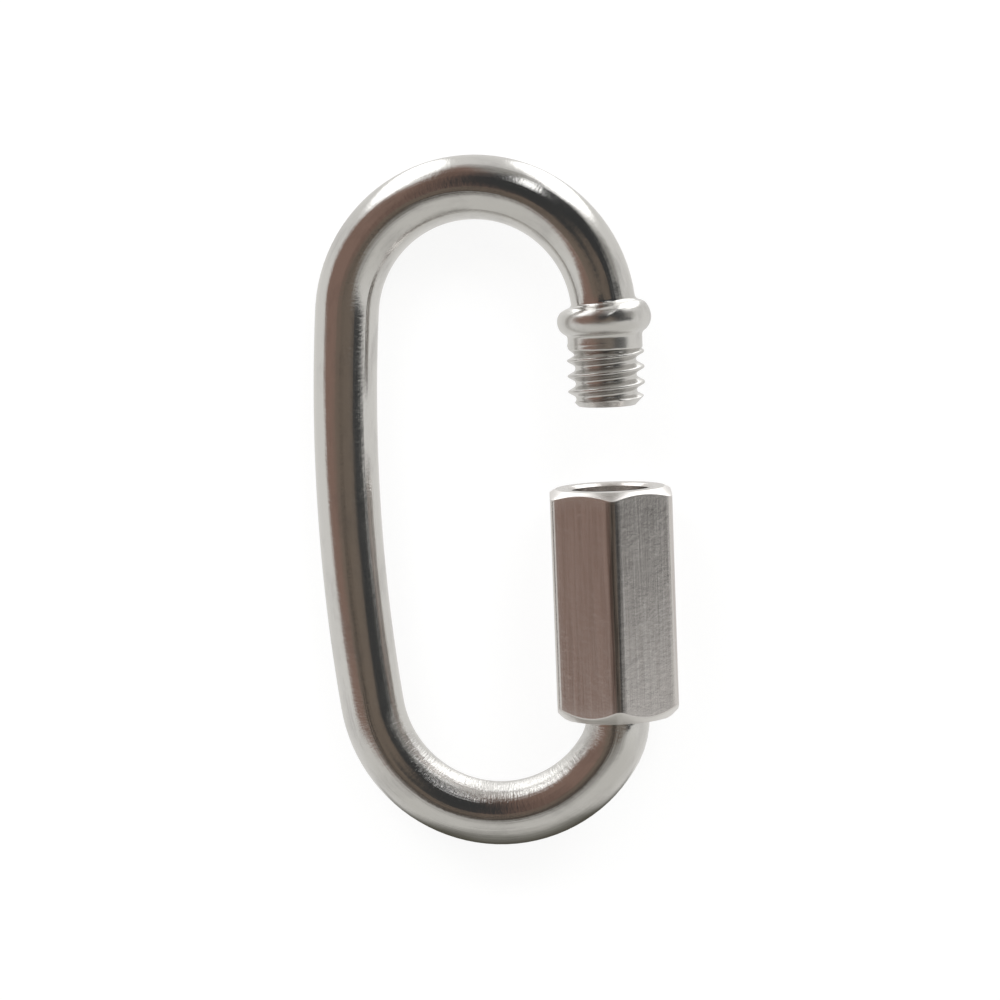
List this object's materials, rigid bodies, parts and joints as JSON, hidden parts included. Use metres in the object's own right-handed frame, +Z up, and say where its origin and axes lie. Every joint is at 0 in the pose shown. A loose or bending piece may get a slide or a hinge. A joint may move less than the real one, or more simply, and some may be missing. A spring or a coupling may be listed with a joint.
{
  "type": "chain quick link",
  "caption": "Open steel oval link with a collar and two threaded ends, closed by a long hexagon nut that runs across the mouth.",
  "frame": {"origin": "on the table, below the middle of the link's bounding box as it lies on its back and on one corner of the nut", "axes": "+X from the back of the oval to the nut, +Y along the thread axis from the nut to the collar, +Z up"},
  "size_m": [0.0294, 0.0576, 0.0114],
  "materials": {
    "link_steel": "polished, with fine draw lines along the rod",
    "nut_steel": "satin drawn flats with scratches, bright turned chamfers"
  },
  "bodies": {
    "link": {"link_body": "link_steel"},
    "sleeve": {"sleeve_nut": "nut_steel"}
  },
  "joints": [
    {"name": "sleeve_travel", "type": "slide", "parent": "link", "child": "sleeve", "axis": [0, 1, 0], "range_m": [0, 0.0127]}
  ]
}
